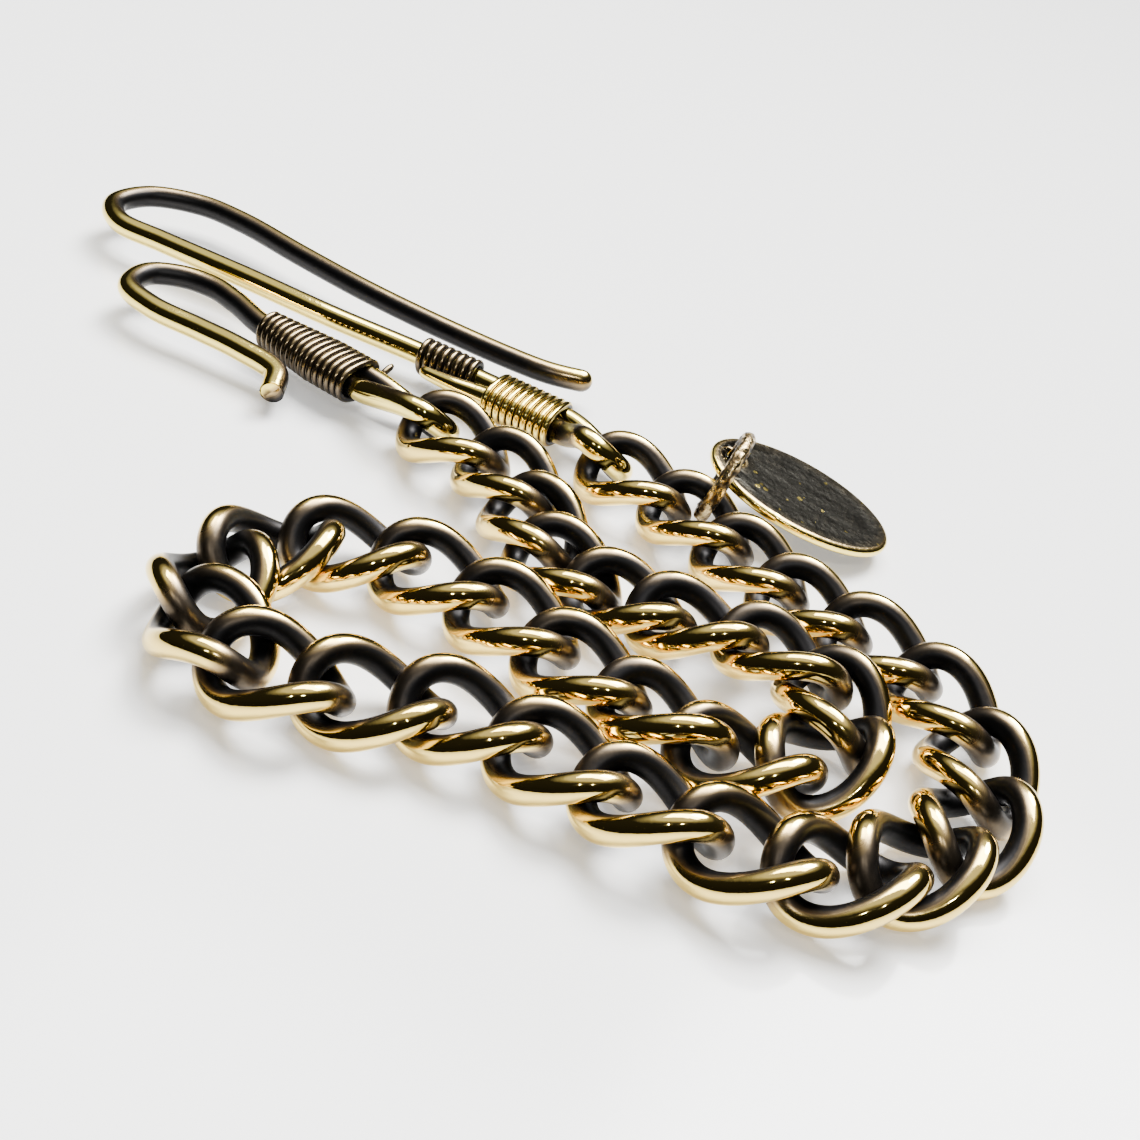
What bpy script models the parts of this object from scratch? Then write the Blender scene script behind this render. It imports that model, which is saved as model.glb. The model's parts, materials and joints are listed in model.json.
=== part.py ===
"""Pocket watch chain: twisted curb links, two wire hooks bound with fine wire, and an oval tag.

The chain lies folded in an S on a flat surface, as it is put down on a table.  Every link is a
separate closed ring of wire, threaded through its neighbours.  A long bent-wire hook ends one
end of the chain and a short one ends the other; each hook's eye is closed by a binding of fine
wire.  A thin oval tag hangs in a small ring near the long hook.

Lengths in the constants are millimetres; the objects are made in metres with +Z up.  The origin
is the bottom centre of the whole object's bounding box.
"""
import math

import bmesh
import bpy
from mathutils import Matrix, Vector

MM = 0.001
UP = Vector((0, 0, 1))

# Curb link: one ring of round wire whose two ends are turned out of the ring's plane.
LINK_WIRE = 2.3
LINK_PITCH = 7.3
LINK_HALF_LENGTH = 5.35
LINK_HALF_WIDTH = 4.0
LINK_TWIST = math.radians(47)
LINK_SQUARENESS = 2.2
LINK_SEGMENTS = 20
LINK_SIDES = 6

# The link that every other piece hangs from, counted from the short hook's end.
ROOT_LINK = 17

# Centre of each link (x, y, z) and its roll about the chain in degrees, from the short hook's
# end to the long hook's end.
CHAIN_ROUTE = [
    (-13.5, 142.0, 3.2, 0), (-7.5, 137.5, 3.2, 0), (-4.0, 131.0, 3.0, 0), (-0.5, 125.5, 2.8, 0),
    (5.5, 122.5, 3.0, 0), (11.5, 120.5, 3.8, -5), (19.0, 118.0, 4.4, -15), (23.5, 113.5, 4.0, -10),
    (22.5, 107.5, 3.4, 0), (16.5, 105.0, 3.2, 10), (10.0, 107.5, 3.4, 15), (3.0, 111.0, 3.2, 0),
    (-3.5, 115.5, 3.2, -5), (-10.5, 119.0, 3.2, -5), (-18.0, 120.5, 3.0, 0), (-24.5, 117.5, 3.0, 0),
    (-27.5, 111.0, 3.0, 0), (-25.5, 104.5, 3.2, 5), (-19.5, 101.0, 3.4, 5), (-12.0, 101.5, 3.0, 5),
    (-4.5, 102.0, 3.0, 0), (3.0, 99.5, 3.0, 0), (10.0, 96.5, 3.4, -10), (17.5, 94.5, 3.4, 0),
    (24.5, 95.0, 3.0, 0), (30.0, 98.5, 3.0, 0), (34.5, 104.0, 3.0, 0), (35.5, 111.5, 3.0, 0),
    (33.0, 118.5, 3.4, 0), (27.5, 124.0, 3.4, -5), (21.5, 128.5, 3.0, 0), (16.0, 133.0, 3.0, 0),
    (10.5, 138.5, 3.0, 0), (4.0, 143.0, 3.0, 0),
]

# Hooks: the bent wire, with its shank on the far side of the binding and its tail on the near.
HOOK_WIRE = 2.4
HOOK_SIDES = 8
HOOK_STEP = 1.5
BINDING_WIRE = 0.7
BINDING_SIDES = 4
BINDING_SEGMENTS = 10
BINDING_CLEARANCE = 0.15
BINDING_INSET = 0.9
LIMB_SPREAD = 1.3
EYE_RADIUS = 3.0
EYE_ARC = (75, 40, 0, -40, -75)

# Each hook's limb runs from its free tip round the bend to the start of its binding.
LONG_LIMB = [
    (-2.5, 161.5, 2.8), (-7.0, 161.0, 3.0), (-11.0, 162.0, 3.0), (-20.0, 165.0, 3.2),
    (-28.5, 168.5, 3.4), (-37.0, 173.0, 3.5), (-45.0, 177.5, 3.6), (-50.5, 179.3, 3.6),
    (-56.0, 178.2, 3.6), (-58.5, 174.0, 3.6), (-56.3, 169.8, 3.6), (-51.0, 167.9, 3.5),
    (-41.0, 164.8, 3.3), (-30.0, 161.0, 3.1),
]
LONG_BINDING = ((-12.5, 154.0, 2.8), (-3.5, 150.5, 2.8))
LONG_EYE_TIP = (1.6, 144.1, 3.8)
LONG_EYE_ROLL = -40
LONG_TAIL = 7.0
LONG_TAIL_STEPS = 6
LONG_THICK_TURNS = 10
LONG_THIN_TURNS = 8
THIN_BINDING_LENGTH = 8.5
THIN_BINDING_GAP = 1.8
TAIL_END_RADIUS = 0.6
TIP_ROUNDING = 0.75
SHORT_LIMB = [
    (-32.0, 144.2, 2.2), (-32.6, 147.4, 2.7), (-36.9, 149.7, 3.0), (-41.5, 151.4, 3.1),
    (-47.0, 153.2, 3.3), (-50.5, 156.2, 3.4), (-49.8, 159.9, 3.4), (-46.5, 161.2, 3.4),
    (-43.0, 160.7, 3.3), (-40.0, 158.8, 3.2),
]
SHORT_BINDING = ((-35.5, 155.0, 3.1), (-23.5, 148.5, 3.1))
SHORT_EYE_TIP = (-14.9, 143.7, 3.2)
SHORT_EYE_ROLL = -40
SHORT_TAIL_PART = 0.6
SHORT_TAIL_STEPS = 4
SHORT_TURNS = 16
SHORT_STUB = 1.5

# Tag and its ring: the ring starts where it bears on its link, and the tag hangs at its far side.
# Directions are (azimuth, climb) in degrees.
TAG_LENGTH = 19.4
TAG_WIDTH = 13.0
TAG_EDGE = ((-0.5, 0.4), (-0.25, 0.0), (0.25, 0.0), (0.5, 0.4))
TAG_SEGMENTS = 32
TAG_HOLE_RADIUS = 1.25
TAG_HOLE_INSET = 2.2
TAG_HOLE = (12.5, 146.8, 5.8)
TAG_DIRECTION = (-4, -14)
TAG_ROLL = 1
TAG_RING_RADIUS = 4.15
TAG_RING_WIRE = 1.2
TAG_RING_START = (10.8, 141.8, 2.2)
TAG_RING_DIRECTION = (43, 66)
TAG_RING_SIDE = (-10, -15)
RING_SEGMENTS = 20

COLOURS = {
    "link_brass": ((0.62, 0.45, 0.18, 1), 0.28),
    "hook_brass": ((0.74, 0.62, 0.28, 1), 0.22),
    "binding_brass": ((0.66, 0.54, 0.24, 1), 0.30),
    "tag_brass": ((0.10, 0.08, 0.05, 1), 0.45),
    "ring_brass": ((0.50, 0.36, 0.14, 1), 0.45),
}


def clear_scene():
    for item in list(bpy.data.objects):
        bpy.data.objects.remove(item, do_unlink=True)


def brass(name):
    """A plain metal with the colour and roughness of the named slot."""
    colour, roughness = COLOURS[name]
    made = bpy.data.materials.get(name)
    if made:
        return made
    made = bpy.data.materials.new(name)
    made.use_nodes = True
    shader = made.node_tree.nodes["Principled BSDF"]
    shader.inputs["Base Color"].default_value = colour
    shader.inputs["Roughness"].default_value = roughness
    shader.inputs["Metallic"].default_value = 1.0
    return made


def catmull_rom(p, k, t):
    """The point at knot value t on the curve between p[1] and p[2], with knots k."""
    a1 = p[0].lerp(p[1], (t - k[0]) / (k[1] - k[0]))
    a2 = p[1].lerp(p[2], (t - k[1]) / (k[2] - k[1]))
    a3 = p[2].lerp(p[3], (t - k[2]) / (k[3] - k[2]))
    b1 = a1.lerp(a2, (t - k[0]) / (k[2] - k[0]))
    b2 = a2.lerp(a3, (t - k[1]) / (k[3] - k[1]))
    return b1.lerp(b2, (t - k[1]) / (k[2] - k[1]))


def smooth_curve(points, step, fineness=16):
    """Evenly spaced points on a smooth curve through the given points."""
    inner = [Vector(p) for p in points]
    p = [2 * inner[0] - inner[1]] + inner + [2 * inner[-1] - inner[-2]]
    knots = [0.0]
    for a, b in zip(p, p[1:]):
        knots.append(knots[-1] + math.sqrt((b - a).length))
    dense = []
    for i in range(1, len(p) - 2):
        for s in range(fineness):
            t = knots[i] + (knots[i + 1] - knots[i]) * s / fineness
            dense.append(catmull_rom(p[i - 1:i + 3], knots[i - 1:i + 3], t))
    dense.append(inner[-1])
    lengths = [0.0]
    for a, b in zip(dense, dense[1:]):
        lengths.append(lengths[-1] + (b - a).length)
    count = max(2, round(lengths[-1] / step))
    even = []
    j = 0
    for i in range(count + 1):
        target = lengths[-1] * i / count
        while j < len(dense) - 2 and lengths[j + 1] < target:
            j += 1
        part = (target - lengths[j]) / (lengths[j + 1] - lengths[j])
        even.append(dense[j].lerp(dense[j + 1], part))
    return even


def transported_normals(centres):
    """A normal for each point of an open line of centres, turning as little as possible."""
    tangent = (centres[1] - centres[0]).normalized()
    normal = tangent.orthogonal().normalized()
    normals = []
    for i in range(len(centres)):
        ahead = centres[min(i + 1, len(centres) - 1)]
        behind = centres[max(i - 1, 0)]
        new_tangent = (ahead - behind).normalized()
        normal = tangent.rotation_difference(new_tangent) @ normal
        tangent = new_tangent
        normals.append(normal.copy())
    return normals


def tube_mesh(name, centres, radii, sides, normals=None, closed=False):
    """A closed tube around a line of centres; radii is one number or one for each centre."""
    count = len(centres)
    if not hasattr(radii, "__len__"):
        radii = [radii] * count
    normals = normals or transported_normals(centres)
    mesh = bmesh.new()
    rings = []
    for i, centre in enumerate(centres):
        ahead = centres[(i + 1) % count] if closed else centres[min(i + 1, count - 1)]
        behind = centres[i - 1] if closed else centres[max(i - 1, 0)]
        tangent = (ahead - behind).normalized()
        across = tangent.cross(normals[i]).normalized()
        normal = across.cross(tangent)
        ring = []
        for j in range(sides):
            angle = 2 * math.pi * j / sides
            spoke = normal * math.cos(angle) + across * math.sin(angle)
            ring.append(mesh.verts.new(MM * (centre + radii[i] * spoke)))
        rings.append(ring)
    pairs = list(zip(rings, rings[1:]))
    if closed:
        pairs.append((rings[-1], rings[0]))
    else:
        mesh.faces.new(rings[0])
        mesh.faces.new(rings[-1])
    for a, b in pairs:
        for j in range(sides):
            mesh.faces.new((a[j], a[(j + 1) % sides], b[(j + 1) % sides], b[j]))
    return finished(name, mesh)


def finished(name, mesh):
    """Turn a bmesh into a mesh with its faces pointing out."""
    bmesh.ops.recalc_face_normals(mesh, faces=mesh.faces)
    data = bpy.data.meshes.new(name)
    mesh.to_mesh(data)
    mesh.free()
    return data


def add(name, data, slot, matrix=None):
    item = bpy.data.objects.new(name, data)
    if not data.materials:
        data.materials.append(brass(slot))
    item.matrix_world = matrix or Matrix.Identity(4)
    bpy.context.scene.collection.objects.link(item)
    return item


def link_mesh():
    """One curb link lying along +X, with its zero half a pitch before its centre."""
    power = 2 / LINK_SQUARENESS
    centres = []
    normals = []
    for i in range(LINK_SEGMENTS):
        angle = 2 * math.pi * (i + 0.5) / LINK_SEGMENTS
        x = LINK_HALF_LENGTH * math.copysign(abs(math.cos(angle)) ** power, math.cos(angle))
        y = LINK_HALF_WIDTH * math.copysign(abs(math.sin(angle)) ** power, math.sin(angle))
        turn = -LINK_TWIST * x / LINK_HALF_LENGTH
        centres.append(Vector((x + LINK_PITCH / 2, y * math.cos(turn), y * math.sin(turn))))
        normals.append(Vector((0, -math.sin(turn), math.cos(turn))))
    return tube_mesh("curb_link", centres, LINK_WIRE / 2, LINK_SIDES, normals, closed=True)


def link_frames():
    """Centre, heading, sideways and upward direction of every link along the route."""
    centres = [Vector(point[:3]) for point in CHAIN_ROUTE]
    frames = []
    for i, point in enumerate(CHAIN_ROUTE):
        ahead = centres[min(i + 1, len(centres) - 1)]
        behind = centres[max(i - 1, 0)]
        heading = (ahead - behind).normalized()
        side = UP.cross(heading).normalized()
        roll = Matrix.Rotation(math.radians(point[3]), 3, heading)
        side = roll @ side
        frames.append((centres[i], heading, side, heading.cross(side)))
    return frames


def frame_matrix(origin, x_axis, y_axis, z_axis):
    turned = Matrix((x_axis, y_axis, z_axis)).transposed().to_4x4()
    return Matrix.Translation(MM * origin) @ turned


def add_chain(frames):
    """Each link's origin is where it bears on the neighbour nearer to the root link."""
    data = link_mesh()
    for number, (centre, heading, side, up) in enumerate(frames, start=1):
        if number < ROOT_LINK:
            heading = -heading
            side = -side
        origin = centre - heading * LINK_PITCH / 2
        add(f"link_{number:02d}", data, "link_brass", frame_matrix(origin, heading, side, up))


def eye_points(binding_end, tip, roll):
    """Points round a hook's eye, from the shank's side to the tail's side."""
    tip = Vector(tip)
    axis = (tip - binding_end).normalized()
    side = UP.cross(axis).normalized()
    side = Matrix.Rotation(math.radians(roll), 3, axis) @ side
    centre = tip - axis * EYE_RADIUS
    points = []
    for degrees in EYE_ARC:
        angle = math.radians(degrees)
        points.append(centre + EYE_RADIUS * (axis * math.cos(angle) + side * math.sin(angle)))
    return points


def binding_axes(binding):
    start = Vector(binding[0])
    end = Vector(binding[1])
    heading = (end - start).normalized()
    return start, end, heading, UP.cross(heading).normalized()


def binding_mesh(name, start, end, spread, turns, ramp=0.0, stub=0.0):
    """Fine wire wound round limbs that lie `spread` either side of the line start to end.

    With a ramp, the limbs part from zero at the start over that share of the line.
    """
    heading = (end - start).normalized()
    side = UP.cross(heading).normalized()
    rise = heading.cross(side)
    radius = HOOK_WIRE / 2 + BINDING_CLEARANCE + BINDING_WIRE / 2
    count = turns * BINDING_SEGMENTS
    centres = []
    for i in range(count + 1):
        part = i / count
        angle = 2 * math.pi * i / BINDING_SEGMENTS
        parted = min(1.0, part / ramp) if ramp else 1.0
        shift = spread * parted * max(-1.0, min(1.0, 2 * math.cos(angle)))
        across = side * (shift + radius * math.cos(angle))
        centres.append(start.lerp(end, part) + across + rise * radius * math.sin(angle))
    if stub:
        centres.append(centres[-1] + (side + 0.4 * rise) * stub)
    return tube_mesh(name, centres, BINDING_WIRE / 2, BINDING_SIDES)


def hook_matrix(joint_place, heading):
    """A hook's frame: its zero on the joint with its chain link, +X along its shank."""
    side = UP.cross(heading).normalized()
    return frame_matrix(joint_place, heading, side, heading.cross(side))


def add_in_frame(name, data, slot, matrix):
    """Add a mesh that was made in place, with its origin moved to the given frame."""
    data.transform(matrix.inverted())
    return add(name, data, slot, matrix)


def round_ends(centres, radius, tail_steps):
    """Radii for a hook's wire: one blunt tip, and a tail that narrows over its last steps."""
    count = len(centres)
    radii = [radius] * count
    for i in range(tail_steps):
        part = (i + 1) / tail_steps
        radii[count - tail_steps + i] = radius + (TAIL_END_RADIUS - radius) * part
    radii[0] = radius * TIP_ROUNDING
    return radii


def add_long_hook(matrix):
    start, end, heading, side = binding_axes(LONG_BINDING)
    thin_start = start - heading * THIN_BINDING_LENGTH
    shank_shift = side * LIMB_SPREAD
    beside = shank_shift - side * (HOOK_WIRE / 2 + BINDING_WIRE + 3 * BINDING_CLEARANCE)
    beside = beside - side * TAIL_END_RADIUS
    route = [Vector(p) for p in LONG_LIMB]
    middle = (start + end) / 2
    route += [p + shank_shift for p in (thin_start, start, middle, end)]
    route += eye_points(end, LONG_EYE_TIP, LONG_EYE_ROLL)
    route += [p - shank_shift for p in (end, middle, start)]
    route += [start - heading * LONG_TAIL / 2 + beside, start - heading * LONG_TAIL + beside]
    centres = smooth_curve(route, HOOK_STEP)
    wire = tube_mesh("long_hook_wire", centres,
                     round_ends(centres, HOOK_WIRE / 2, LONG_TAIL_STEPS), HOOK_SIDES)
    add_in_frame("long_hook_wire", wire, "hook_brass", matrix)
    inset = heading * BINDING_INSET
    thick = binding_mesh("long_hook_thick_binding", start + inset, end - inset,
                         LIMB_SPREAD, LONG_THICK_TURNS)
    add_in_frame("long_hook_thick_binding", thick, "binding_brass", matrix)
    thin = binding_mesh("long_hook_thin_binding", thin_start + shank_shift,
                        start - heading * THIN_BINDING_GAP + shank_shift, 0, LONG_THIN_TURNS)
    add_in_frame("long_hook_thin_binding", thin, "binding_brass", matrix)


def add_short_hook(matrix):
    start, end, heading, side = binding_axes(SHORT_BINDING)
    middle = start.lerp(end, SHORT_TAIL_PART)
    spread = side * LIMB_SPREAD
    route = [Vector(p) for p in SHORT_LIMB]
    route += [start, middle + spread, (middle + end) / 2 + spread, end + spread]
    route += eye_points(end, SHORT_EYE_TIP, SHORT_EYE_ROLL)
    route += [end - spread, (middle + end) / 2 - spread, middle - spread]
    centres = smooth_curve(route, HOOK_STEP)
    radii = round_ends(centres, HOOK_WIRE / 2, SHORT_TAIL_STEPS)
    radii[0] = HOOK_WIRE / 2
    wire = tube_mesh("short_hook_wire", centres, radii, HOOK_SIDES)
    add_in_frame("short_hook_wire", wire, "hook_brass", matrix)
    wound = binding_mesh("short_hook_binding", start, end - heading * BINDING_INSET, LIMB_SPREAD,
                         SHORT_TURNS, SHORT_TAIL_PART, SHORT_STUB)
    add_in_frame("short_hook_binding", wound, "binding_brass", matrix)


def add_tag_ring(matrix):
    """A closed wire ring in the frame's XZ plane, passing through the frame's zero."""
    centres = []
    normals = []
    for i in range(RING_SEGMENTS):
        angle = 2 * math.pi * i / RING_SEGMENTS
        spoke = Vector((math.cos(angle), 0, math.sin(angle)))
        centres.append(TAG_RING_RADIUS * (spoke + Vector((1, 0, 0))))
        normals.append(spoke)
    data = tube_mesh("tag_ring", centres, TAG_RING_WIRE / 2, LINK_SIDES, normals, closed=True)
    return add("tag_ring", data, "ring_brass", matrix)


def add_tag(matrix):
    """A thin oval plate with a hole; the frame's zero is in the hole, on the plate's middle."""
    mesh = bmesh.new()
    outer_rings = []
    for z, inset in TAG_EDGE:
        ring = []
        for i in range(TAG_SEGMENTS):
            angle = 2 * math.pi * i / TAG_SEGMENTS
            x = TAG_HOLE_INSET - TAG_LENGTH / 2 + (TAG_LENGTH / 2 - inset) * math.cos(angle)
            y = (TAG_WIDTH / 2 - inset) * math.sin(angle)
            ring.append(mesh.verts.new(MM * Vector((-x, y, z))))
        outer_rings.append(ring)
    hole_rings = []
    for z in (TAG_EDGE[0][0], TAG_EDGE[-1][0]):
        ring = []
        for i in range(TAG_SEGMENTS):
            angle = 2 * math.pi * i / TAG_SEGMENTS
            spoke = Vector((-math.cos(angle), math.sin(angle), 0))
            ring.append(mesh.verts.new(MM * (TAG_HOLE_RADIUS * spoke + Vector((0, 0, z)))))
        hole_rings.append(ring)
    loops = [hole_rings[0]] + outer_rings + [hole_rings[1]]
    for a, b in zip(loops, loops[1:] + loops[:1]):
        for j in range(TAG_SEGMENTS):
            k = (j + 1) % TAG_SEGMENTS
            mesh.faces.new((a[j], a[k], b[k], b[j]))
    return add("tag_plate", finished("tag_plate", mesh), "tag_brass", matrix)


def direction(azimuth, climb):
    """A unit vector at these angles, in degrees, from +X and from the horizontal."""
    around = math.radians(azimuth)
    up = math.radians(climb)
    return Vector((math.cos(around) * math.cos(up), math.sin(around) * math.cos(up), math.sin(up)))


def stand_on_origin():
    """Move everything so that the bottom centre of the bounding box is the world's origin."""
    bpy.context.view_layer.update()
    corners = []
    for item in bpy.data.objects:
        corners += [item.matrix_world @ v.co for v in item.data.vertices]
    low = Vector([min(c[k] for c in corners) for k in range(3)])
    high = Vector([max(c[k] for c in corners) for k in range(3)])
    shift = Matrix.Translation(-Vector(((low.x + high.x) / 2, (low.y + high.y) / 2, low.z)))
    for item in bpy.data.objects:
        item.matrix_world = shift @ item.matrix_world


def main():
    clear_scene()
    frames = link_frames()
    add_chain(frames)
    first_centre, first_heading = frames[0][:2]
    last_centre, last_heading = frames[-1][:2]
    short_joint = first_centre - first_heading * LINK_PITCH / 2
    long_joint = last_centre + last_heading * LINK_PITCH / 2
    add_long_hook(hook_matrix(long_joint, last_heading))
    add_short_hook(hook_matrix(short_joint, -first_heading))
    ring_axis = direction(*TAG_RING_DIRECTION)
    ring_side = direction(*TAG_RING_SIDE)
    ring_side = (ring_side - ring_axis * ring_side.dot(ring_axis)).normalized()
    add_tag_ring(frame_matrix(Vector(TAG_RING_START), ring_axis, ring_side,
                              ring_axis.cross(ring_side)))
    tag_axis = direction(*TAG_DIRECTION)
    tag_side = UP.cross(tag_axis).normalized()
    tag_side = Matrix.Rotation(math.radians(TAG_ROLL), 3, tag_axis) @ tag_side
    add_tag(frame_matrix(Vector(TAG_HOLE), tag_axis, tag_side, tag_axis.cross(tag_side)))
    stand_on_origin()


main()
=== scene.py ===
"""Looks for the pocket watch chain: fine round wire, blackened patina worn to bright brass.

Every piece follows the same centre lines as its CAD solid, in millimetres. One move takes them all
into the frame: it is found by comparing the place of the first link's joint on the route with its
place in the frame.
"""
import json
import math

import bmesh
import bpy
from mathutils import Matrix, Vector, noise


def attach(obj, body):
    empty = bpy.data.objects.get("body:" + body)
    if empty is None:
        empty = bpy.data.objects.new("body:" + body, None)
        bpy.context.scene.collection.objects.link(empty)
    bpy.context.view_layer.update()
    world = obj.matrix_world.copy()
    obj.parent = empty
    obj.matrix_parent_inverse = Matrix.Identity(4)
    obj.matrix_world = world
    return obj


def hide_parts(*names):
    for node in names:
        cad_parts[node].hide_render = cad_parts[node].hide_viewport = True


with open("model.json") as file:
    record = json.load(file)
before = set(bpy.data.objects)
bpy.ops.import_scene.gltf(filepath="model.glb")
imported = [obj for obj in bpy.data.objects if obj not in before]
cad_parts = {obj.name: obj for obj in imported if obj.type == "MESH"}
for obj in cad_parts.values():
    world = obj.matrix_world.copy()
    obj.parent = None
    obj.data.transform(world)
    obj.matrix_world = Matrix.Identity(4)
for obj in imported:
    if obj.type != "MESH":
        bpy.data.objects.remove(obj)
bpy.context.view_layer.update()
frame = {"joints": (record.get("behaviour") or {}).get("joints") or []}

MM = 0.001
UP = Vector((0, 0, 1))

# Curb link
LINK_WIRE = 2.36
LINK_PITCH = 7.3
LINK_HALF_LENGTH = 5.35
LINK_HALF_WIDTH = 4.0
LINK_TWIST = math.radians(47)
LINK_SQUARENESS = 2.2
LINK_SEGMENTS = 72
LINK_SIDES = 24
ROOT_LINK = 17

# Wear runs from 0, black patina, to 1, bare brass. It grows between two values of how far the
# surface faces outward, from -1 to 1.
LINK_WORN_FACING = (-0.35, 0.62)
# Towards the end bends, where the neighbouring links cover the wire, the wear is held down to a
# cap: painted shade, which lifts over this share of the half width along the flank.
LINK_END_SHADE_FADE = (0.2, 0.9)
LINK_END_SHADE_CAP = 0.30
LINK_END_FACING = 0.35

# Centre of each link (x, y, z) and its roll about the chain in degrees.
CHAIN_ROUTE = [
    (-13.5, 142.0, 3.2, 0), (-7.5, 137.5, 3.2, 0), (-4.0, 131.0, 3.0, 0), (-0.5, 125.5, 2.8, 0),
    (5.5, 122.5, 3.0, 0), (11.5, 120.5, 3.8, -5), (19.0, 118.0, 4.4, -15), (23.5, 113.5, 4.0, -10),
    (22.5, 107.5, 3.4, 0), (16.5, 105.0, 3.2, 10), (10.0, 107.5, 3.4, 15), (3.0, 111.0, 3.2, 0),
    (-3.5, 115.5, 3.2, -5), (-10.5, 119.0, 3.2, -5), (-18.0, 120.5, 3.0, 0), (-24.5, 117.5, 3.0, 0),
    (-27.5, 111.0, 3.0, 0), (-25.5, 104.5, 3.2, 5), (-19.5, 101.0, 3.4, 5), (-12.0, 101.5, 3.0, 5),
    (-4.5, 102.0, 3.0, 0), (3.0, 99.5, 3.0, 0), (10.0, 96.5, 3.4, -10), (17.5, 94.5, 3.4, 0),
    (24.5, 95.0, 3.0, 0), (30.0, 98.5, 3.0, 0), (34.5, 104.0, 3.0, 0), (35.5, 111.5, 3.0, 0),
    (33.0, 118.5, 3.4, 0), (27.5, 124.0, 3.4, -5), (21.5, 128.5, 3.0, 0), (16.0, 133.0, 3.0, 0),
    (10.5, 138.5, 3.0, 0), (4.0, 143.0, 3.0, 0),
]

# Hooks and their bindings
HOOK_WIRE = 2.4
HOOK_SIDES = 28
HOOK_STEP = 0.4
BINDING_WIRE = 0.7
BINDING_SIDES = 10
BINDING_SEGMENTS = 36
BINDING_CLEARANCE = 0.12
BINDING_SQUARENESS = 1.6
BINDING_END = 0.6
BINDING_WORN_FACING = (0.1, 0.95)
# Undersides are held to a lower share of the wear, lifting towards the top: painted shade beneath
# the binding.
BINDING_SHADE_LIFT = (-0.5, 0.6)
BINDING_SHADE_CAP_BELOW = 0.4
BINDING_INSET = 0.9
TAIL_GAP = 0.45
LIMB_SPREAD = 1.3
EYE_RADIUS = 3.0
EYE_ARC = (75, 40, 0, -40, -75)
HOOK_WORN_FACING = (-0.55, 0.65)
# Faces tilted up and towards the camera's side get more bare brass: a painted highlight where the
# overhead light glints.
HOOK_HIGHLIGHT_LEAN = Vector((0, -0.2, 0.25))
LONG_LIMB = [
    (-2.5, 161.5, 2.8), (-7.0, 161.0, 3.0), (-11.0, 162.0, 3.0), (-20.0, 165.0, 3.2),
    (-28.5, 168.5, 3.4), (-37.0, 173.0, 3.5), (-45.0, 177.5, 3.6), (-50.5, 179.3, 3.6),
    (-56.0, 178.2, 3.6), (-58.5, 174.0, 3.6), (-56.3, 169.8, 3.6), (-51.0, 167.9, 3.5),
    (-41.0, 164.8, 3.3), (-30.0, 161.0, 3.1),
]
LONG_BINDING = ((-12.5, 154.0, 2.8), (-3.5, 150.5, 2.8))
LONG_EYE_TIP = (1.6, 144.1, 3.8)
LONG_EYE_ROLL = -40
LONG_TAIL = 7.0
LONG_TAPER = 9.0
LONG_THICK_TURNS = 10
LONG_THIN_TURNS = 8
THIN_BINDING_LENGTH = 8.5
THIN_BINDING_GAP = 1.8
TAIL_END_RADIUS = 0.6
LONG_SPINE = ((-53.5, 173.8, 3.4), (-12.0, 157.5, 3.0))
SHORT_LIMB = [
    (-32.0, 144.2, 2.2), (-32.6, 147.4, 2.7), (-36.9, 149.7, 3.0), (-41.5, 151.4, 3.1),
    (-47.0, 153.2, 3.3), (-50.5, 156.2, 3.4), (-49.8, 159.9, 3.4), (-46.5, 161.2, 3.4),
    (-43.0, 160.7, 3.3), (-40.0, 158.8, 3.2),
]
SHORT_BINDING = ((-35.5, 155.0, 3.1), (-23.5, 148.5, 3.1))
SHORT_EYE_TIP = (-14.9, 143.7, 3.2)
SHORT_EYE_ROLL = -40
SHORT_SPINE = ((-46.8, 157.2, 3.3), (-22.0, 146.5, 3.0))
SHORT_TAIL_PART = 0.6
SHORT_TAPER = 6.0
SHORT_TURNS = 16
SHORT_STUB = 1.5
STUB_STEPS = 4
STUB_RISE = 0.4

# The short hook's cut tip: (distance past the wire's end, radius) from the hollow to the chamfer
CUT_TIP = ((-0.6, 0.02), (-0.63, 0.60), (-0.51, 0.70), (-0.04, 0.78), (-0.02, 1.02), (-0.09, 1.15))
HOLLOW_RINGS = 3

# Tag and its ring. Directions are (azimuth, climb) in degrees.
TAG_LENGTH = 19.4
TAG_WIDTH = 13.0
TAG_SEGMENTS = 96
TAG_HOLE_RADIUS = 1.25
TAG_HOLE_INSET = 2.2
TAG_HOLE = (12.5, 146.8, 5.8)
TAG_DIRECTION = (-4, -14)
TAG_ROLL = 1
TAG_RIM = 1.6
TAG_HOLE_RIM = 0.5
TAG_FACE_HEIGHT = 0.42
TAG_FACE_RINGS = 12
TAG_FACE_WEAR = 0.08
TAG_DISH = 0.05
TAG_DISH_SCALE = 0.6
# (height, distance inside the outline, wear) from the lower face to the edge
TAG_EDGE = ((-0.42, TAG_RIM, 0.1), (-0.5, 0.62, 0.3), (-0.47, 0.30, 0.8), (-0.36, 0.09, 1),
            (-0.2, 0.0, 1))
# (height, distance outside the hole, wear) from the lower face into the hole
TAG_HOLE_EDGE = ((-0.42, TAG_HOLE_RIM, 0.2), (-0.5, 0.12, 0.6), (-0.4, 0.0, 0.9))
TAG_RING_RADIUS = 4.15
TAG_RING_WIRE = 1.35
TAG_RING_START = (10.8, 141.8, 2.2)
TAG_RING_DIRECTION = (43, 66)
TAG_RING_SIDE = (-10, -15)
RING_SEGMENTS = 120
RING_SIDES = 20
RING_WORN_FACING = (-0.3, 0.8)
GRAIN = 0.18

# Camera, in the same millimetres as the routes
CAMERA_HEIGHT = 84.23
CAMERA_TILT = 0.575
CAMERA_ROLL = 0.2454
CAMERA_LENS = 54.36
SENSOR_WIDTH = 36

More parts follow.
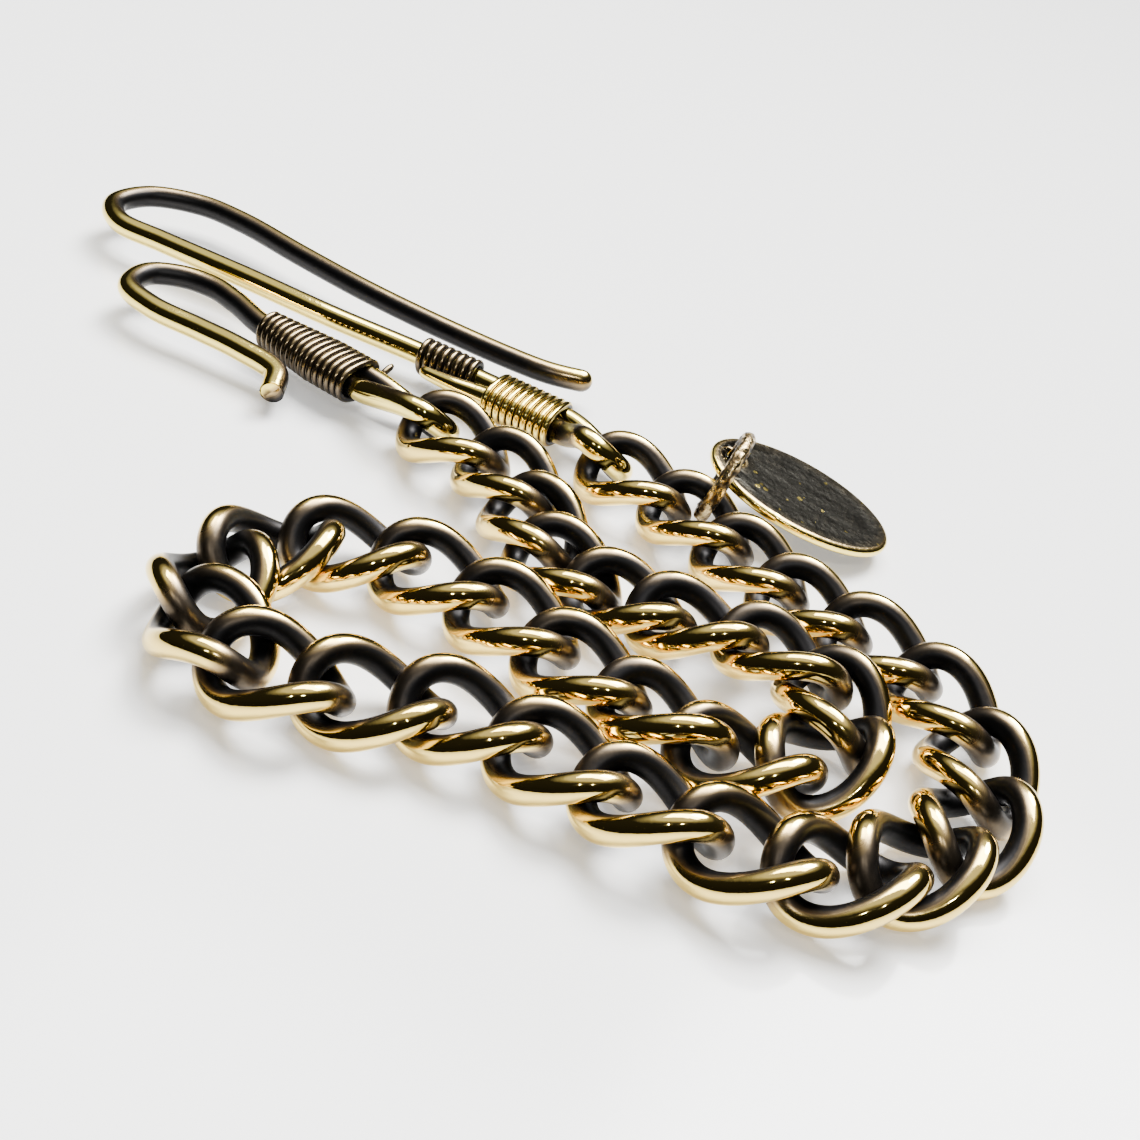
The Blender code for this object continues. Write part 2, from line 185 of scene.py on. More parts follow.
# Metals: noise scales are per metre, colours are linear
CLOUD_SCALE = 260.0
FINE_SCALE = 1900.0
SEED_SPREAD = 50.0
SPECK_SCALE = 900.0
SPECK_SIZE = 0.27
PATCH_SCALE = 420.0
PATCH_LEVEL = 0.56
RELIEF_DEPTH = 0.0004
BLACK = (0.022, 0.021, 0.021)
BROWN = (0.105, 0.080, 0.052)
BRONZE = (0.42, 0.29, 0.12)
GOLD = (0.92, 0.67, 0.18)
PALE = (0.95, 0.74, 0.18)

# Floor and lights, in metres; the key's power is in watts per square metre
FLOOR_RADIUS = 1.5
FLOOR_DROP = 0.00015
KEY_POWER = 6.2
KEY_SPREAD = math.radians(24)
KEY_HEADING = Vector((-0.34, -0.66, -0.86))
GLINT_SIZE = (0.012, 0.008)
ROOM_LEAN = 0.35
ROOM_TONES = ((0.0, 0.012), (0.70, 0.02), (0.82, 0.30), (0.90, 0.9), (1.0, 0.95))


def smoothstep(low, high, value):
    """0 below low, 1 above high, and a smooth rise between them."""
    part = max(0.0, min(1.0, (value - low) / (high - low)))
    return part * part * (3 - 2 * part)


def catmull_rom(p, k, t):
    """The point at knot value t on the curve between p[1] and p[2], with knots k."""
    a1 = p[0].lerp(p[1], (t - k[0]) / (k[1] - k[0]))
    a2 = p[1].lerp(p[2], (t - k[1]) / (k[2] - k[1]))
    a3 = p[2].lerp(p[3], (t - k[2]) / (k[3] - k[2]))
    b1 = a1.lerp(a2, (t - k[0]) / (k[2] - k[0]))
    b2 = a2.lerp(a3, (t - k[1]) / (k[3] - k[1]))
    return b1.lerp(b2, (t - k[1]) / (k[2] - k[1]))


def smooth_curve(points, step, fineness=24):
    """Evenly spaced points on a smooth curve through the given points."""
    inner = [Vector(p) for p in points]
    p = [2 * inner[0] - inner[1]] + inner + [2 * inner[-1] - inner[-2]]
    knots = [0.0]
    for a, b in zip(p, p[1:]):
        knots.append(knots[-1] + math.sqrt((b - a).length))
    dense = []
    for i in range(1, len(p) - 2):
        for s in range(fineness):
            t = knots[i] + (knots[i + 1] - knots[i]) * s / fineness
            dense.append(catmull_rom(p[i - 1:i + 3], knots[i - 1:i + 3], t))
    dense.append(inner[-1])
    lengths = [0.0]
    for a, b in zip(dense, dense[1:]):
        lengths.append(lengths[-1] + (b - a).length)
    count = max(2, round(lengths[-1] / step))
    even = []
    j = 0
    for i in range(count + 1):
        target = lengths[-1] * i / count
        while j < len(dense) - 2 and lengths[j + 1] < target:
            j += 1
        part = (target - lengths[j]) / (lengths[j + 1] - lengths[j])
        even.append(dense[j].lerp(dense[j + 1], part))
    return even


def transported_normals(centres):
    """A normal for each point of an open line of centres, turning as little as possible."""
    tangent = (centres[1] - centres[0]).normalized()
    normal = tangent.orthogonal().normalized()
    normals = []
    for i in range(len(centres)):
        ahead = centres[min(i + 1, len(centres) - 1)]
        behind = centres[max(i - 1, 0)]
        new_tangent = (ahead - behind).normalized()
        normal = tangent.rotation_difference(new_tangent) @ normal
        tangent = new_tangent
        normals.append(normal.copy())
    return normals


def tube(name, centres, radii, sides, normals=None, closed=False, wear_and_shading=None, grain=None):
    """A round tube along the centres, in metres.

    The wear function, called as (i, spoke), says how far the patina is worn through, with painted
    shade and painted highlight worked in where a piece has them, and grain(spot) how far the
    surface stands out, at the centre i in the direction spoke.
    """
    count = len(centres)
    if not hasattr(radii, "__len__"):
        radii = [radii] * count
    normals = normals or transported_normals(centres)
    mesh = bmesh.new()
    layer = mesh.verts.layers.float.new("wear_and_shading")
    rings = []
    for i, centre in enumerate(centres):
        ahead = centres[(i + 1) % count] if closed else centres[min(i + 1, count - 1)]
        behind = centres[i - 1] if closed else centres[max(i - 1, 0)]
        tangent = (ahead - behind).normalized()
        across = tangent.cross(normals[i]).normalized()
        normal = across.cross(tangent)
        ring = []
        for j in range(sides):
            angle = 2 * math.pi * j / sides
            spoke = normal * math.cos(angle) + across * math.sin(angle)
            spot = centre + radii[i] * spoke
            if grain:
                spot += spoke * grain(spot)
            vert = mesh.verts.new(MM * spot)
            vert[layer] = wear_and_shading(i, spoke) if wear_and_shading else 1.0
            ring.append(vert)
        rings.append(ring)
    pairs = list(zip(rings, rings[1:]))
    if closed:
        pairs.append((rings[-1], rings[0]))
    else:
        mesh.faces.new(rings[0])
        mesh.faces.new(rings[-1])
    for a, b in pairs:
        for j in range(sides):
            mesh.faces.new((a[j], a[(j + 1) % sides], b[(j + 1) % sides], b[j]))
    return smooth_mesh(name, mesh)


def smooth_mesh(name, mesh):
    """Turn a bmesh into smooth-shaded mesh data with its faces outward."""
    bmesh.ops.recalc_face_normals(mesh, faces=mesh.faces)
    for face in mesh.faces:
        face.smooth = True
    data = bpy.data.meshes.new(name)
    mesh.to_mesh(data)
    mesh.free()
    return data


def link_mesh():
    """One curb link along +X, with its zero half a pitch before its centre."""
    power = 2 / LINK_SQUARENESS
    centres = []
    normals = []
    flanks = []
    for i in range(LINK_SEGMENTS):
        angle = 2 * math.pi * (i + 0.5) / LINK_SEGMENTS
        x = LINK_HALF_LENGTH * math.copysign(abs(math.cos(angle)) ** power, math.cos(angle))
        y = LINK_HALF_WIDTH * math.copysign(abs(math.sin(angle)) ** power, math.sin(angle))
        turn = -LINK_TWIST * x / LINK_HALF_LENGTH
        outward = Vector((0, math.cos(turn), math.sin(turn)))
        centres.append(Vector((x + LINK_PITCH / 2, y * outward.y, y * outward.z)))
        normals.append(Vector((0, -math.sin(turn), math.cos(turn))))
        flank = outward * (y / LINK_HALF_WIDTH)
        flank += Vector((LINK_END_FACING * x / LINK_HALF_LENGTH, 0, 0))
        flanks.append((flank, abs(y) / LINK_HALF_WIDTH))

    def wear_and_shading(i, spoke):
        flank, share = flanks[i]
        # Painted shade: towards the end bends, where neighbouring links cover the wire, the wear is
        # held down.
        most = LINK_END_SHADE_CAP + (1 - LINK_END_SHADE_CAP) * smoothstep(*LINK_END_SHADE_FADE, share)
        return smoothstep(*LINK_WORN_FACING, flank.dot(spoke)) * most

    return tube("fine_link", centres, LINK_WIRE / 2, LINK_SIDES, normals, True, wear_and_shading)


def link_frames():
    """Centre, heading, sideways and upward direction of every link along the route."""
    centres = [Vector(point[:3]) for point in CHAIN_ROUTE]
    frames = []
    for i, point in enumerate(CHAIN_ROUTE):
        ahead = centres[min(i + 1, len(centres) - 1)]
        behind = centres[max(i - 1, 0)]
        heading = (ahead - behind).normalized()
        side = UP.cross(heading).normalized()
        side = Matrix.Rotation(math.radians(point[3]), 3, heading) @ side
        frames.append((centres[i], heading, side, heading.cross(side)))
    return frames


def frame_matrix(origin, x_axis, y_axis, z_axis):
    """A frame at an origin given in millimetres."""
    turned = Matrix((x_axis, y_axis, z_axis)).transposed().to_4x4()
    return Matrix.Translation(MM * origin) @ turned


def place(name, data, material, body, nodes, matrix):
    """Show a mesh in place of its CAD nodes, riding on its body."""
    item = bpy.data.objects.new(name, data)
    if not data.materials:
        data.materials.append(material)
    bpy.context.scene.collection.objects.link(item)
    item.matrix_world = matrix
    bpy.context.view_layer.update()
    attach(item, body)
    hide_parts(*nodes)
    return item


def eye_points(binding_end, tip, roll):
    """Points round a hook's eye, from the shank's side to the tail's side."""
    tip = Vector(tip)
    axis = (tip - binding_end).normalized()
    side = UP.cross(axis).normalized()
    side = Matrix.Rotation(math.radians(roll), 3, axis) @ side
    centre = tip - axis * EYE_RADIUS
    points = []
    for degrees in EYE_ARC:
        angle = math.radians(degrees)
        points.append(centre + EYE_RADIUS * (axis * math.cos(angle) + side * math.sin(angle)))
    return points


def binding_axes(binding):
    """Start, end, heading and level sideways direction of a binding."""
    start = Vector(binding[0])
    end = Vector(binding[1])
    heading = (end - start).normalized()
    return start, end, heading, UP.cross(heading).normalized()


def binding_mesh(name, start, end, spread, turns, ramp=0.0, stub=0.0):
    """Fine wire wound round limbs that lie `spread` either side of the line start to end.

    With a ramp, the limbs part from zero at the start over that share of the line.
    """
    heading = (end - start).normalized()
    side = UP.cross(heading).normalized()
    rise = heading.cross(side)
    radius = HOOK_WIRE / 2 + BINDING_CLEARANCE + BINDING_WIRE / 2
    count = turns * BINDING_SEGMENTS
    centres = []
    outs = []
    for i in range(count + 1):
        part = i / count
        angle = 2 * math.pi * i / BINDING_SEGMENTS
        parted = min(1.0, part / ramp) if ramp else 1.0
        swing = math.tanh(BINDING_SQUARENESS * math.cos(angle)) / math.tanh(BINDING_SQUARENESS)
        shift = spread * parted * swing
        across = side * (shift + radius * math.cos(angle))
        centres.append(start.lerp(end, part) + across + rise * radius * math.sin(angle))
        outs.append(side * math.cos(angle) + rise * math.sin(angle))
    if stub:
        for i in range(1, STUB_STEPS + 1):
            centres.append(centres[count] + (side + STUB_RISE * rise) * stub * i / STUB_STEPS)
            outs.append(rise)
    radii = [BINDING_WIRE / 2] * len(centres)
    radii[0] = radii[-1] = BINDING_END * BINDING_WIRE / 2

    def wear_and_shading(i, spoke):
        # Painted shade: the underside of the winding is held darker than its top.
        above = smoothstep(*BINDING_SHADE_LIFT, spoke.z)
        most = BINDING_SHADE_CAP_BELOW + (1 - BINDING_SHADE_CAP_BELOW) * above
        return most * smoothstep(*BINDING_WORN_FACING, outs[i].dot(spoke))

    return tube(name, centres, radii, BINDING_SIDES, wear_and_shading=wear_and_shading)


def rounded(centres, radii, at_start=True, at_end=True):
    """The radii with a round nose worked into each wanted end."""
    first = centres[0]
    last = centres[-1]
    shaped = list(radii)
    for i, centre in enumerate(centres):
        for wanted, end in ((at_start, first), (at_end, last)):
            if wanted:
                gap = (centre - end).length
                if gap < radii[i]:
                    inner = 1 - gap / radii[i]
                    shaped[i] = min(shaped[i], radii[i] * math.sqrt(max(0.02, 1 - inner * inner)))
    return shaped


def nose_steps(centres):
    """Add closely spaced points at both ends, so that a round nose comes out smooth."""
    parts = (0.0, 0.02, 0.06, 0.12, 0.22, 0.36)
    head = [centres[0].lerp(centres[3], part) for part in parts]
    tail = [centres[-1].lerp(centres[-4], part) for part in reversed(parts)]
    return head + centres[2:-2] + tail


def hook_wire(name, route, taper, spine, flat_tip=False):
    """The bent wire of a hook; its patina lies on the side that faces the hook's spine line, and
    faces tilted up towards the camera are painted lighter, a painted highlight.
    """
    centres = nose_steps(smooth_curve(route, HOOK_STEP))
    lengths = [0.0]
    for a, b in zip(centres, centres[1:]):
        lengths.append(lengths[-1] + (b - a).length)
    radii = []
    for length in lengths:
        left = (lengths[-1] - length) / taper
        radii.append(TAIL_END_RADIUS + (HOOK_WIRE / 2 - TAIL_END_RADIUS) * min(1.0, left))
    if flat_tip:
        centres, radii = flat_end(centres, radii)
    radii = rounded(centres, radii, at_start=not flat_tip)
    normals = transported_normals(centres)
    outs = [away_from(centre, *spine) for centre in centres]

    def wear_and_shading(i, spoke):
        if flat_tip and i < HOLLOW_RINGS:
            return 0.0
        # Painted highlight: the lean lightens faces tilted up towards the camera.
        return smoothstep(*HOOK_WORN_FACING, outs[i].dot(spoke) + HOOK_HIGHLIGHT_LEAN.dot(spoke))

    return tube(name, centres, radii, HOOK_SIDES, normals, wear_and_shading=wear_and_shading)


def away_from(spot, low, high):
    """The level direction away from the nearest point of the line low to high."""
    line = Vector(high) - Vector(low)
    part = max(0.0, min(1.0, (spot - Vector(low)).dot(line) / line.length_squared))
    gap = spot - (Vector(low) + line * part)
    gap.z = 0
    return gap.normalized()


def flat_end(centres, radii):
    """A cut end in place of the first point: a shallow hollow, a flat rim and a small chamfer."""
    away = (centres[0] - centres[1]).normalized()
    head = [centres[0] + away * depth for depth, radius in CUT_TIP]
    return head + centres[1:], [radius for depth, radius in CUT_TIP] + radii[1:]


def long_hook_route():
    """Points along the long hook's wire, from its tip round its eye to the end of its tail."""
    start, end, heading, side = binding_axes(LONG_BINDING)
    thin_start = start - heading * THIN_BINDING_LENGTH
    shank_shift = side * LIMB_SPREAD
    beside = shank_shift - side * (HOOK_WIRE / 2 + BINDING_WIRE + TAIL_GAP + TAIL_END_RADIUS)
    middle = (start + end) / 2
    route = [Vector(p) for p in LONG_LIMB]
    route += [p + shank_shift for p in (thin_start, start, middle, end)]
    route += eye_points(end, LONG_EYE_TIP, LONG_EYE_ROLL)
    route += [p - shank_shift for p in (end, middle, start)]
    route += [start - heading * LONG_TAIL / 2 + beside, start - heading * LONG_TAIL + beside]
    return route


def short_hook_route():
    """Points along the short hook's wire, from its tip round its eye to its hidden tail."""
    start, end, _, side = binding_axes(SHORT_BINDING)
    middle = start.lerp(end, SHORT_TAIL_PART)
    spread = side * LIMB_SPREAD
    route = [Vector(p) for p in SHORT_LIMB]
    route += [start, middle + spread, (middle + end) / 2 + spread, end + spread]
    route += eye_points(end, SHORT_EYE_TIP, SHORT_EYE_ROLL)
    route += [end - spread, (middle + end) / 2 - spread, middle - spread]
    return route


def ring_mesh():
    """The tag's ring: rough, grainy wire in the frame's XZ plane, through the frame's zero."""
    centres = []
    normals = []
    for i in range(RING_SEGMENTS):
        angle = 2 * math.pi * i / RING_SEGMENTS
        spoke = Vector((math.cos(angle), 0, math.sin(angle)))
        centres.append(TAG_RING_RADIUS * (spoke + Vector((1, 0, 0))))
        normals.append(spoke)

    def grain(where):
        return GRAIN * (0.7 * noise.noise(where * 1.9) + 0.5 * noise.noise(where * 4.3))

    def wear_and_shading(i, spoke):
        patchy = noise.noise(centres[i] * 1.3 + spoke * 1.5)
        return smoothstep(*RING_WORN_FACING, patchy + 0.4 * normals[i].dot(spoke))

    return tube("fine_ring", centres, TAG_RING_WIRE / 2, RING_SIDES, normals, True, wear_and_shading, grain)


def tag_mesh():
    """A thin oval plate with a rounded edge and a hole; the frame's zero is in the hole."""
    mesh = bmesh.new()
    layer = mesh.verts.layers.float.new("wear_and_shading")
    hole = [tag_loop(mesh, layer, hole_point, *row) for row in mirrored(TAG_HOLE_EDGE)]
    edge = [tag_loop(mesh, layer, outline_point, *row) for row in mirrored(TAG_EDGE)]
    half = len(TAG_HOLE_EDGE)
    order = hole[:half][::-1] + face_loops(mesh, layer, -TAG_FACE_HEIGHT) + edge
    order += face_loops(mesh, layer, TAG_FACE_HEIGHT)[::-1] + hole[half:][::-1]
    for a, b in zip(order, order[1:] + order[:1]):
        for j in range(TAG_SEGMENTS):
            k = (j + 1) % TAG_SEGMENTS
            mesh.faces.new((a[j], a[k], b[k], b[j]))
    return smooth_mesh("fine_tag", mesh)


def mirrored(profile):
    """A profile of (height, reach, wear) below zero, followed by its mirror image above zero."""
    return list(profile) + [(-height, reach, wear) for height, reach, wear in reversed(profile)]


def hole_point(i, reach):
    """A point round the tag's hole, `reach` outside its edge."""
    angle = 2 * math.pi * i / TAG_SEGMENTS
    radius = TAG_HOLE_RADIUS + reach
    return Vector((-radius * math.cos(angle), radius * math.sin(angle)))


def outline_point(i, reach):
    """A point of the tag's oval, `reach` inside its outline."""
    angle = 2 * math.pi * i / TAG_SEGMENTS
    x = TAG_LENGTH / 2 - TAG_HOLE_INSET - (TAG_LENGTH / 2 - reach) * math.cos(angle)
    return Vector((x, (TAG_WIDTH / 2 - reach) * math.sin(angle)))


def tag_loop(mesh, layer, point, height, reach, wear):
    """A closed loop of the plate through point(i, reach), at one height."""
    loop = []
    for i in range(TAG_SEGMENTS):
        vert = mesh.verts.new(MM * Vector((*point(i, reach), height)))
        vert[layer] = wear
        loop.append(vert)
    return loop


def face_loops(mesh, layer, height):
    """Loops across one face of the plate, from its hole to its rim, slightly dished."""
    loops = []
    for step in range(1, TAG_FACE_RINGS):
        loop = []
        for i in range(TAG_SEGMENTS):
            inner = hole_point(i, TAG_HOLE_RIM)
            flat = inner.lerp(outline_point(i, TAG_RIM), step / TAG_FACE_RINGS)
            dish = TAG_DISH * noise.noise(Vector((*flat, height)) * TAG_DISH_SCALE)
            vert = mesh.verts.new(MM * Vector((*flat, height + math.copysign(dish, height))))
            vert[layer] = TAG_FACE_WEAR
            loop.append(vert)
        loops.append(loop)
    return loops


def direction(azimuth, climb):
    """The unit vector at an azimuth from +X and a climb above level, in degrees."""
    around = math.radians(azimuth)
    up = math.radians(climb)
    return Vector((math.cos(around) * math.cos(up), math.sin(around) * math.cos(up), math.sin(up)))


def ramp_node(tree, stops, source):
    """A colour ramp through the given (position, colour) stops."""
    ramp = tree.nodes.new("ShaderNodeValToRGB")
    elements = ramp.color_ramp.elements
    while len(elements) < len(stops):
        elements.new(0.5)
    for element, (position, colour) in zip(elements, stops):
        element.position = position
        element.color = (*colour, 1) if hasattr(colour, "__len__") else (colour, colour, colour, 1)
    tree.links.new(source, ramp.inputs[0])
    return ramp.outputs[0]


def math_node(tree, operation, a, b, clamp=False):
    """The result of a Math node whose inputs are numbers or other nodes' outputs."""
    made = tree.nodes.new("ShaderNodeMath")
    made.operation = operation
    made.use_clamp = clamp
    for socket, value in zip(made.inputs, (a, b)):
        if hasattr(value, "links"):
            tree.links.new(value, socket)
        else:
            socket.default_value = value
    return made.outputs[0]


def noise_node(tree, coordinates, scale, detail, offset=None):
    """Noise from 0 to 1; an offset picks another stretch of it for each object."""
    made = tree.nodes.new("ShaderNodeTexNoise")
    made.noise_dimensions = "4D" if offset else "3D"
    made.inputs["Scale"].default_value = scale
    made.inputs["Detail"].default_value = detail
    tree.links.new(coordinates, made.inputs["Vector"])
    if offset:
        tree.links.new(offset, made.inputs["W"])
    return made.outputs["Fac"]


def speck_pattern(tree, where):
    """1 on small dots that stand in patches, and 0 elsewhere."""
    cells = tree.nodes.new("ShaderNodeTexVoronoi")
    cells.inputs["Scale"].default_value = SPECK_SCALE
    tree.links.new(where, cells.inputs["Vector"])
    dots = math_node(tree, "LESS_THAN", cells.outputs["Distance"], SPECK_SIZE)
    patch = math_node(tree, "GREATER_THAN", noise_node(tree, where, PATCH_SCALE, 2.0), PATCH_LEVEL)
    return math_node(tree, "MULTIPLY", dots, patch)


def metal_by_wear_and_shading(name, tones, shine, blotch=0.35, scratch=0.10, bump=0.06, speck=0.0):
    """Metal whose colour and shine run from patina to bare brass with the wear on it, and with the
    painted shade and painted highlight that some pieces add to their wear.

    tones are (position, colour) stops and shine (position, roughness) stops over the wear and
    painted shading.
    blotch and scratch are how far coarse and fine noise shifts the wear, bump is how strong the
    relief is, and speck is how bright the bare dots are.
    """
    material = bpy.data.materials.new(name)
    material.use_nodes = True
    tree = material.node_tree
    shader = tree.nodes["Principled BSDF"]
    shader.inputs["Metallic"].default_value = 1.0
    # The attribute holds the wear together with painted shade and painted highlight.
    wear = tree.nodes.new("ShaderNodeAttribute")
    wear.attribute_name = "wear_and_shading"
    where = tree.nodes.new("ShaderNodeTexCoord").outputs["Object"]
    chance = tree.nodes.new("ShaderNodeObjectInfo").outputs["Random"]
    seed = math_node(tree, "MULTIPLY", chance, SEED_SPREAD)
    cloud = noise_node(tree, where, CLOUD_SCALE, 3.0, seed)
    fine = noise_node(tree, where, FINE_SCALE, 5.0, seed)
    amount = math_node(tree, "MULTIPLY", math_node(tree, "SUBTRACT", cloud, 0.5), blotch)
    level = math_node(tree, "ADD", wear.outputs["Fac"], amount)
    grit = math_node(tree, "MULTIPLY", math_node(tree, "SUBTRACT", fine, 0.5), scratch)
    level = math_node(tree, "ADD", level, grit, clamp=True)
    if speck:
        bright = math_node(tree, "MULTIPLY", speck_pattern(tree, where), speck)
        level = math_node(tree, "ADD", level, bright, clamp=True)
    tree.links.new(ramp_node(tree, tones, level), shader.inputs["Base Color"])
    rough = math_node(tree, "ADD", ramp_node(tree, shine, level),
                      math_node(tree, "MULTIPLY", grit, 0.5), clamp=True)
    tree.links.new(rough, shader.inputs["Roughness"])
    relief = tree.nodes.new("ShaderNodeBump")
    relief.inputs["Strength"].default_value = bump
    relief.inputs["Distance"].default_value = RELIEF_DEPTH
    tree.links.new(math_node(tree, "ADD", cloud, math_node(tree, "MULTIPLY", fine, 0.4)),
                   relief.inputs["Height"])
    tree.links.new(relief.outputs["Normal"], shader.inputs["Normal"])
    return material


def make_materials():
    """Each sub-part's metal, by name."""
    return {
        "link": metal_by_wear_and_shading(
            "link_patina_and_shade", ((0.03, BLACK), (0.28, BROWN), (0.50, BRONZE), (0.72, GOLD)),
            ((0.0, 0.42), (0.40, 0.30), (0.75, 0.10), (1.0, 0.06))),
        "hook": metal_by_wear_and_shading(
            "hook_wear_and_highlight", ((0.05, BLACK), (0.30, BROWN), (0.55, BRONZE), (0.78, PALE)),
            ((0.0, 0.40), (0.5, 0.20), (1.0, 0.06))),
        "bound": metal_by_wear_and_shading(
            "binding_wear_and_shade", ((0.05, BLACK), (0.25, BRONZE), (0.55, PALE), (1.0, PALE)),
            ((0.0, 0.45), (0.5, 0.16), (1.0, 0.10))),
        "dull": metal_by_wear_and_shading(
            "binding_dull_and_shade", ((0.05, BLACK), (0.60, BROWN), (1.0, (0.30, 0.22, 0.11))),
            ((0.0, 0.5), (0.6, 0.28), (1.0, 0.2))),
        "tag": metal_by_wear_and_shading(
            "tag_face", ((0.10, (0.010, 0.009, 0.006)), (0.36, (0.035, 0.028, 0.016)),
                         (0.70, BRONZE), (0.92, PALE)),
            ((0.0, 0.27), (0.5, 0.25), (1.0, 0.12)),
            blotch=0.30, scratch=0.30, bump=0.22, speck=0.85),
        "ring": metal_by_wear_and_shading(
            "ring_grain", ((0.1, (0.03, 0.024, 0.015)), (0.5, (0.30, 0.20, 0.09)),
                           (0.9, (0.80, 0.60, 0.28))),
            ((0.0, 0.5), (1.0, 0.16)), blotch=0.5, scratch=0.5, bump=0.9),
    }


def add_links(material, shift):
    """The links, each with its zero where it bears on its neighbour nearer to the root."""
    data = link_mesh()
    for number, (centre, heading, side, up) in enumerate(link_frames(), start=1):
        if number < ROOT_LINK:
            heading = -heading
            side = -side
        origin = centre - heading * LINK_PITCH / 2
        node = f"link_{number:02d}"
        place("fine_" + node, data, material, node, [node],
              shift @ frame_matrix(origin, heading, side, up))


def add_hook_wires(material, shift):
    wires = (("long_hook", long_hook_route(), LONG_TAPER, LONG_SPINE, False),
             ("short_hook", short_hook_route(), SHORT_TAPER, SHORT_SPINE, True))
    for body, route, taper, spine, flat_tip in wires:
        node = body + "_wire"
        data = hook_wire("fine_" + node, route, taper, spine, flat_tip)
        place("fine_" + node, data, material, body, [node], shift)


def add_bindings(bright, dull, shift):
    """The long hook's thick and thin windings, and the short hook's tapering one."""
    start, end, heading, side = binding_axes(LONG_BINDING)
    inset = heading * BINDING_INSET
    thick = binding_mesh("thick_binding", start + inset, end - inset, LIMB_SPREAD, LONG_THICK_TURNS)
    place("fine_long_thick_binding", thick, bright, "long_hook",
          ["long_hook_thick_binding"], shift)
    shank = side * LIMB_SPREAD
    thin = binding_mesh("thin_binding", start - heading * THIN_BINDING_LENGTH + shank,
                        start - heading * THIN_BINDING_GAP + shank, 0, LONG_THIN_TURNS)
    place("fine_long_thin_binding", thin, dull, "long_hook",
          ["long_hook_thin_binding"], shift)
    start, end, heading, side = binding_axes(SHORT_BINDING)
    wound = binding_mesh("short_binding", start, end - heading * BINDING_INSET, LIMB_SPREAD,
                         SHORT_TURNS, SHORT_TAIL_PART, SHORT_STUB)
    place("fine_short_binding", wound, dull, "short_hook",
          ["short_hook_binding"], shift)


def add_tag_ring(material, shift):
    axis = direction(*TAG_RING_DIRECTION)
    side = direction(*TAG_RING_SIDE)
    side = (side - axis * side.dot(axis)).normalized()
    place("fine_tag_ring", ring_mesh(), material, "tag_ring", ["tag_ring"],
          shift @ frame_matrix(Vector(TAG_RING_START), axis, side, axis.cross(side)))


def add_tag(material, shift):
    axis = direction(*TAG_DIRECTION)
    side = UP.cross(axis).normalized()
    side = Matrix.Rotation(math.radians(TAG_ROLL), 3, axis) @ side
    place("fine_tag_plate", tag_mesh(), material, "tag_plate", ["tag_plate"],
          shift @ frame_matrix(Vector(TAG_HOLE), axis, side, axis.cross(side)))


def build_object(shift):
    """Make every piece in place of its CAD node and let it ride on its body."""
    made = make_materials()
    add_links(made["link"], shift)
    add_hook_wires(made["hook"], shift)
    add_bindings(made["bound"], made["dull"], shift)
    add_tag_ring(made["ring"], shift)
    add_tag(made["tag"], shift)


def find_shift():
    """The move from the routes' millimetres to the frame, from the first link's joint."""
    centre, heading = link_frames()[0][:2]
    origin = centre + heading * LINK_PITCH / 2
    for joint in frame["joints"]:
        if joint["child"] == "link_01":
            return Matrix.Translation(Vector(joint["pos_m"]) - MM * origin)
    raise ValueError("the record has no joint for link_01")


def make_floor():
    """A pale, slightly glossy disc just below the part."""
    mesh = bmesh.new()
    bmesh.ops.create_circle(mesh, cap_ends=True, segments=96, radius=FLOOR_RADIUS)
    data = bpy.data.meshes.new("floor")
    mesh.to_mesh(data)
    mesh.free()
    floor = bpy.data.objects.new("floor", data)
    floor.location = (0, 0, -FLOOR_DROP)
    bpy.context.scene.collection.objects.link(floor)
    material = bpy.data.materials.new("pale_floor")
    material.use_nodes = True
    shader = material.node_tree.nodes["Principled BSDF"]
    shader.inputs["Base Color"].default_value = (0.93, 0.93, 0.92, 1)
    shader.inputs["Roughness"].default_value = 0.16
    shader.inputs["Specular IOR Level"].default_value = 0.35
    shader.inputs["Emission Color"].default_value = (1.0, 1.0, 0.985, 1)
    shader.inputs["Emission Strength"].default_value = 0.45
    data.materials.append(material)


def area_light(name, spot, target, size, power):
    """A rectangular lamp at a spot, aimed at a target."""
    light = bpy.data.lights.new(name, "AREA")
    light.shape = "RECTANGLE"
    light.size, light.size_y = size
    light.energy = power
    item = bpy.data.objects.new(name, light)
    item.location = spot
    item.rotation_euler = (Vector(target) - Vector(spot)).to_track_quat("-Z", "Y").to_euler()
    bpy.context.scene.collection.objects.link(item)


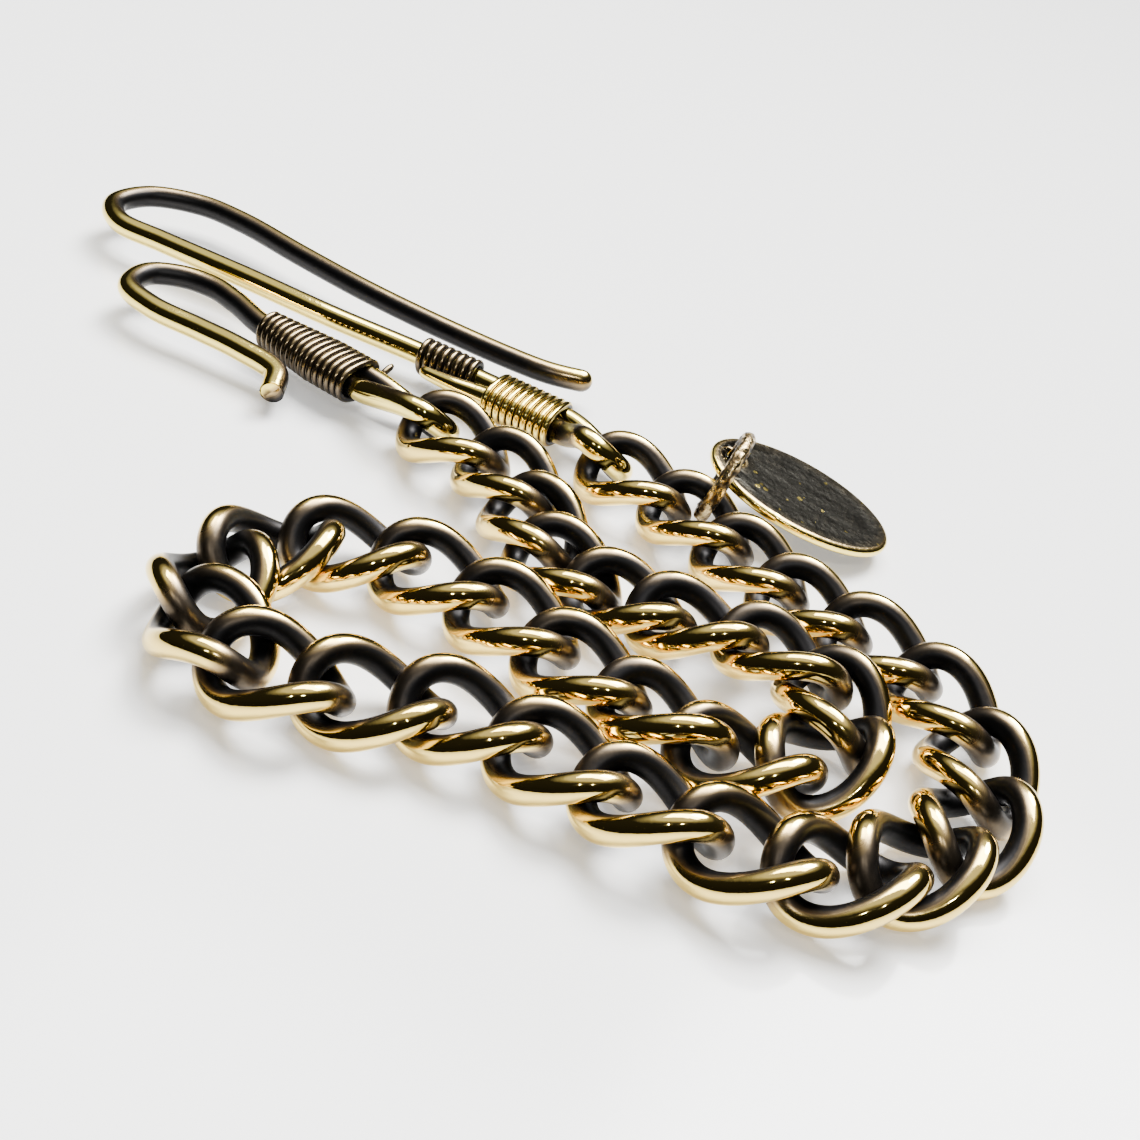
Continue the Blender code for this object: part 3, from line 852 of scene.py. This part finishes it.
def make_lights():
    """A key from the far right, a wide overhead box and two tiny lamps for glints."""
    sun = bpy.data.lights.new("key", "SUN")
    sun.energy = KEY_POWER
    sun.angle = KEY_SPREAD
    item = bpy.data.objects.new("key", sun)
    item.rotation_euler = KEY_HEADING.to_track_quat("-Z", "Y").to_euler()
    bpy.context.scene.collection.objects.link(item)
    area_light("overhead", (0.05, 0.22, 0.55), (0, 0.05, 0), (0.55, 0.30), 9.0)
    area_light("glint_left", (-0.05, -0.30, 0.36), (0, 0, 0), GLINT_SIZE, 0.25)
    area_light("glint_right", (0.10, -0.26, 0.33), (0, 0, 0), GLINT_SIZE, 0.2)


def make_room():
    """A world that is dark on the camera's side and bright overhead and behind the object."""
    world = bpy.data.worlds.new("room")
    bpy.context.scene.world = world
    world.use_nodes = True
    tree = world.node_tree
    background = tree.nodes["Background"]
    split = tree.nodes.new("ShaderNodeSeparateXYZ")
    tree.links.new(tree.nodes.new("ShaderNodeTexCoord").outputs["Generated"], split.inputs[0])
    lean = math_node(tree, "MULTIPLY", split.outputs["Y"], ROOM_LEAN)
    height = math_node(tree, "ADD", split.outputs["Z"], lean)
    tree.links.new(ramp_node(tree, ROOM_TONES, height), background.inputs["Color"])
    background.inputs["Strength"].default_value = 1.0


def make_camera(shift):
    """The photograph's camera, level with +X before its roll and looking along +Y and down."""
    forward = Vector((0, math.cos(CAMERA_TILT), -math.sin(CAMERA_TILT)))
    above = Vector((0, math.sin(CAMERA_TILT), math.cos(CAMERA_TILT)))
    level = Vector((1, 0, 0))
    right = math.cos(CAMERA_ROLL) * level + math.sin(CAMERA_ROLL) * above
    up = -math.sin(CAMERA_ROLL) * level + math.cos(CAMERA_ROLL) * above
    data = bpy.data.cameras.new("camera")
    data.lens = CAMERA_LENS
    data.sensor_width = SENSOR_WIDTH
    data.clip_start = 0.005
    camera = bpy.data.objects.new("camera", data)
    camera.matrix_world = shift @ frame_matrix(Vector((0, 0, CAMERA_HEIGHT)), right, up, -forward)
    bpy.context.scene.collection.objects.link(camera)
    bpy.context.scene.camera = camera


def main():
    shift = find_shift()
    build_object(shift)
    make_floor()
    make_lights()
    make_room()
    make_camera(shift)
    bpy.context.view_layer.update()


main()
